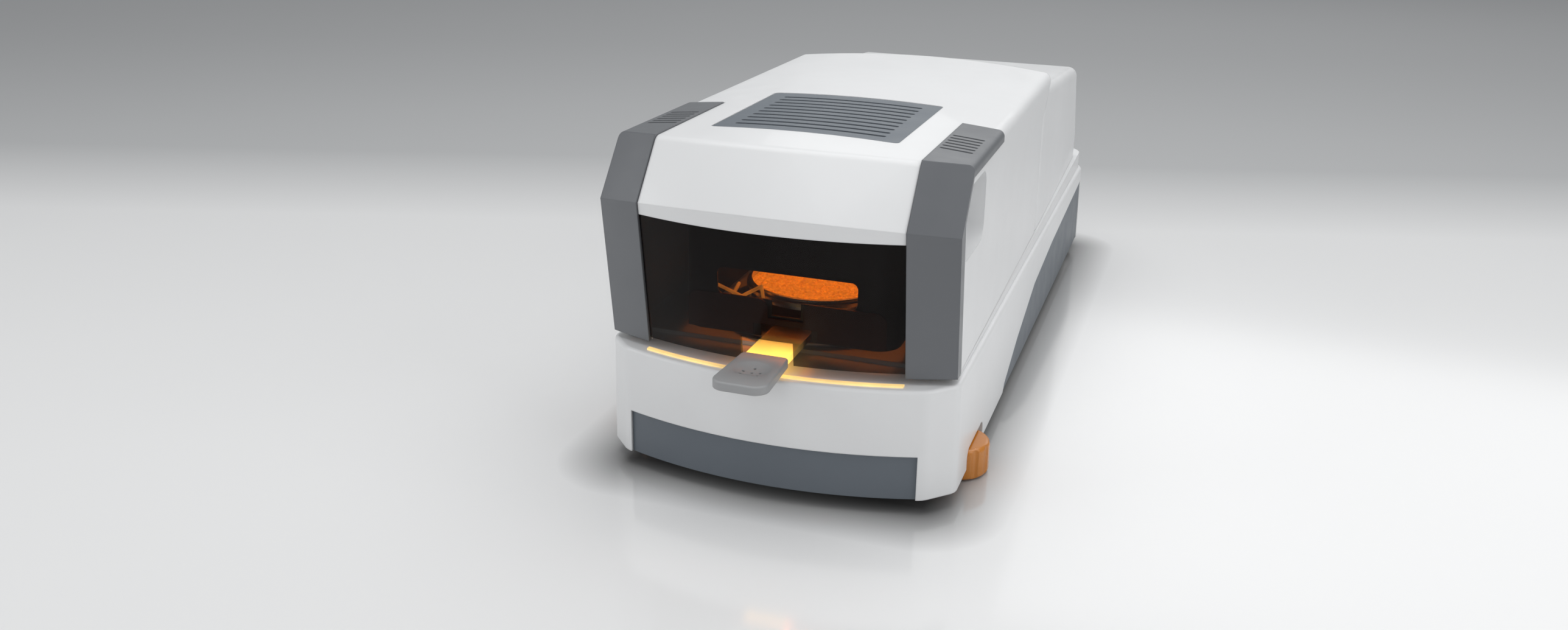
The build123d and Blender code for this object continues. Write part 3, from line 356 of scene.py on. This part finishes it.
def sample_bed():
    low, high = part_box("sample")
    middle = (low + high) / 2
    radius = (high.x - low.x) / 2
    edit = bmesh.new()
    bmesh.ops.create_circle(edit, cap_ends=True, segments=BED_SIDES, radius=radius)
    base = list(edit.faces)
    for _ in range(BED_RINGS):
        bmesh.ops.inset_region(edit, faces=base, thickness=radius / (BED_RINGS + 1))
    grown = bmesh.ops.extrude_face_region(edit, geom=list(edit.faces))
    top = [g for g in grown["geom"] if isinstance(g, bmesh.types.BMVert)]
    bmesh.ops.translate(edit, verts=top, vec=(0, 0, high.z - low.z))
    bmesh.ops.translate(edit, verts=list(edit.verts), vec=(middle.x, middle.y, low.z))
    bmesh.ops.recalc_face_normals(edit, faces=list(edit.faces))
    finished("sample_bed", edit, LAMPLIT_GRAINS, "pan", ("sample",))
    draw = random.Random(GRAIN_SEED)
    grains = bmesh.new()
    for _ in range(GRAIN_COUNT):
        angle = draw.uniform(0, 2 * math.pi)
        reach = radius * GRAIN_REACH * math.sqrt(draw.random())
        size = draw.uniform(*GRAIN_SIZES)
        turn = Matrix.Rotation(draw.uniform(0, 3), 4, Vector((draw.random(), draw.random(), 1)).normalized())
        place = Matrix.Translation((middle.x + reach * math.cos(angle), middle.y + reach * math.sin(angle),
                                    high.z + size * draw.uniform(GRAIN_SINK, GRAIN_RISE)))
        squeeze = Matrix.Diagonal((size, size * draw.uniform(GRAIN_NARROW, 1.0), size * GRAIN_FLAT, 1))
        bmesh.ops.create_icosphere(grains, subdivisions=1, radius=1.0, matrix=place @ turn @ squeeze)
    finished("sample_grain_layer", grains, LAMPLIT_GRAINS, "pan")


# Pieces that only the scene has, placed in the part's millimetres: behind the lip and above its level
LIP_TO_MIDDLE = 256.75
LEVEL = 7.0
MILLIMETRES = 1000


def at(x, behind, height):
    return Vector((x, behind - LIP_TO_MIDDLE, height + LEVEL)) / MILLIMETRES


WIRE = 0.0011
WIRE_SIDES = 12
WIRE_RINGS = 8
PAN_WIRES = (((-50, 58, 83), (-24, 45, 101)), ((-52, 44, 99), (-27, 56, 84)), ((-24, 45, 101), (-21, 45, 83)),
             ((-50, 58, 83), (-46, 64, 94)), ((30, 40, 84), (52, 60, 95)), ((52, 60, 95), (55, 62, 83)))


def wire(edit, first, last):
    """A straight run of wire with a round end."""
    run = last - first
    turn = run.to_track_quat("Z", "Y").to_matrix().to_4x4()
    middle = Matrix.Translation((first + last) / 2)
    bmesh.ops.create_cone(edit, cap_ends=True, segments=WIRE_SIDES, radius1=WIRE, radius2=WIRE,
                          depth=run.length, matrix=middle @ turn)
    bmesh.ops.create_uvsphere(edit, u_segments=WIRE_SIDES, v_segments=WIRE_RINGS, radius=WIRE,
                              matrix=Matrix.Translation(last))


def pan_wires():
    """Bent wires beside the pan that show through the window, glowing with painted lamplight."""
    edit = bmesh.new()
    for first, last in PAN_WIRES:
        wire(edit, at(*first), at(*last))
    for face in edit.faces:
        face.smooth = True
    finished("pan_wires", edit, LIT_WIRE, "carrier")


PLATE_HALF = 61.0
PLATE_NOTCH = 11.0
PLATE_ROUND = 6.0
PLATE_ROUND_STEPS = 6
PLATE_TOP = 102.5
PLATE_STEP = 91.0
PLATE_LOW = 80.5
PLATE_BACK = 20.4
PLATE_DEPTH = 1.2
SLOT_HALF = 20.0
SLOT_TOP = 87.0


def rounded_corner(x, side):
    """Points of a quarter turn at an upper corner of the plate, from the top edge to the upright one."""
    centre_x = x - side * PLATE_ROUND
    centre_z = PLATE_TOP - PLATE_ROUND
    turns = [math.pi / 2 * step / PLATE_ROUND_STEPS for step in range(PLATE_ROUND_STEPS + 1)]
    return [(centre_x + side * PLATE_ROUND * math.sin(turn), centre_z + PLATE_ROUND * math.cos(turn))
            for turn in turns]


def dim_lit_plate():
    """The plate below the window, with a step for the handle in its middle. Its dark red is painted shade and
    dim lamplight, standing in for the faintly lit inner wall behind the glass.
    """
    edit = bmesh.new()
    for side in (-1, 1):
        outer = rounded_corner(side * PLATE_HALF, side)
        inner = rounded_corner(side * PLATE_NOTCH, -side)
        foot = [(side * PLATE_HALF, PLATE_LOW), (side * SLOT_HALF, PLATE_LOW), (side * SLOT_HALF, SLOT_TOP),
                (0, SLOT_TOP), (0, PLATE_STEP), (side * PLATE_NOTCH, PLATE_STEP)]
        points = outer + foot + inner[::-1]
        edit.faces.new([edit.verts.new(at(x, PLATE_BACK, height)) for x, height in points])
    bmesh.ops.remove_doubles(edit, verts=list(edit.verts), dist=MERGE)
    grown = bmesh.ops.extrude_face_region(edit, geom=list(edit.faces))
    moved = [g for g in grown["geom"] if isinstance(g, bmesh.types.BMVert)]
    bmesh.ops.translate(edit, verts=moved, vec=(0, PLATE_DEPTH / MILLIMETRES, 0))
    bmesh.ops.recalc_face_normals(edit, faces=list(edit.faces))
    finished("dim_lit_plate", edit, DIM_LIT_PLATE_FINISH, "hood")


# Stage, lights and camera
FLOOR_SIZE = 24.0
FLOOR_NEAR = -0.8              # metres from the part's middle, away from the camera
FLOOR_FAR = 1.4
FLOOR_STOPS = ((0.0, (0.80, 0.80, 0.80)), (0.50, (0.82, 0.82, 0.82)), (0.62, (0.52, 0.525, 0.53)),
               (1.0, (0.48, 0.485, 0.49)))
FLOOR_ROUGHNESS = 0.12
FLOOR_MIRROR = 0.8
UNDER_HALF_WIDTH = 0.090       # the painted contact shadow on the floor round the part
UNDER_HALF_DEPTH = 0.270
UNDER_MIDDLE = 0.02
UNDER_REACH = 0.05
PAINTED_SHADOW_DEPTH = 0.85
PAINTED_SHADOW_TONE = (0.02, 0.02, 0.02, 1.0)
AWAY = Vector((-0.3077, 0.9515))


def stage():
    s = Shader("studio_floor")
    place = s.place()
    away = s.axis("X", place) * AWAY.x + s.axis("Y", place) * AWAY.y
    run = s.spread(away, FLOOR_NEAR, FLOOR_FAR, 0.0, 1.0)
    tone = s.node("ShaderNodeValToRGB", {"stops": FLOOR_STOPS}, run)
    # Painted contact shadow: the floor's colour is darkened near the part's footprint, fading out over
    # UNDER_REACH
    beside = (s.axis("X", place).absolute() - UNDER_HALF_WIDTH).clamped()
    beyond = ((s.axis("Y", place) - UNDER_MIDDLE).absolute() - UNDER_HALF_DEPTH).clamped()
    near = (beside * beside + beyond * beyond).power(0.5)
    tone = s.mix(s.spread(near, 0.0, UNDER_REACH, PAINTED_SHADOW_DEPTH, 0.0), tone, PAINTED_SHADOW_TONE)
    s.surface(Base_Color=tone, Roughness=FLOOR_ROUGHNESS, Specular_IOR_Level=FLOOR_MIRROR)
    bpy.ops.mesh.primitive_plane_add(size=FLOOR_SIZE)
    floor = bpy.context.object
    floor.name = "studio_floor"
    floor.data.materials.append(s.material)


# Each lamp: its name, its place, what it points at, its two sides and its power
LAMPS = (("soft_top", (0.1, 0.1, 1.7), (0, 0, 0.1), (1.8, 2.2), 22),
         ("key_right", (1.6, -0.5, 1.0), (0, 0.05, 0.1), (1.2, 1.2), 8),
         ("fill_left", (-1.5, -0.9, 0.8), (0, -0.05, 0.1), (1.2, 1.0), 6),
         ("front_low", (0.2, -2.0, 0.7), (0, 0, 0.08), (1.6, 0.7), 5),
         ("back_soft", (0.1, 2.4, 1.3), (0, 0, 0.15), (2.4, 0.9), 7))
WORLD_TONE = (0.86, 0.88, 0.90, 1)
WORLD_STRENGTH = 0.34


def lamp(name, place, aim, size, power):
    light = bpy.data.lights.new(name, "AREA")
    light.shape = "RECTANGLE"
    light.size, light.size_y = size
    light.energy = power
    holder = bpy.data.objects.new(name, light)
    bpy.context.scene.collection.objects.link(holder)
    holder.location = place
    holder.rotation_euler = (Vector(aim) - Vector(place)).to_track_quat("-Z", "Y").to_euler()


def lights():
    for row in LAMPS:
        lamp(*row)
    world = bpy.data.worlds.new("studio_world")
    bpy.context.scene.world = world
    world.use_nodes = True
    shade = world.node_tree.nodes["Background"]
    shade.inputs["Color"].default_value = WORLD_TONE
    shade.inputs["Strength"].default_value = WORLD_STRENGTH


# Camera fitted to the photograph: its place and its three directions, in the part's frame
CAMERA_PLACE = Vector((0.23535, -0.90436, 0.36817))
CAMERA_RIGHT = Vector((0.94901, 0.31458, 0.02067))
CAMERA_UP = Vector((-0.12406, 0.31238, 0.94182))
CAMERA_FORWARD = Vector((-0.28982, 0.89636, -0.33548))
IMAGE_WIDTH = 2576
IMAGE_HEIGHT = 1035
FOCAL_PIXELS = 2143.05
AXIS_PIXEL = (1343.0, 480.0)
SENSOR = 36.0


def camera():
    data = bpy.data.cameras.new("photo_camera")
    data.sensor_width = SENSOR
    data.lens = FOCAL_PIXELS * SENSOR / IMAGE_WIDTH
    data.shift_x = (IMAGE_WIDTH / 2 - AXIS_PIXEL[0]) / IMAGE_WIDTH
    data.shift_y = (AXIS_PIXEL[1] - IMAGE_HEIGHT / 2) / IMAGE_WIDTH
    data.clip_start = 0.05
    data.clip_end = 60
    holder = bpy.data.objects.new("photo_camera", data)
    bpy.context.scene.collection.objects.link(holder)
    turn = Matrix((CAMERA_RIGHT, CAMERA_UP, -CAMERA_FORWARD)).transposed()
    holder.matrix_world = Matrix.Translation(CAMERA_PLACE) @ turn.to_4x4()
    bpy.context.scene.camera = holder


camera()
stage()
lights()
dress_nodes()
sample_bed()
pan_wires()
dim_lit_plate()
bpy.context.scene.view_settings.view_transform = "Standard"
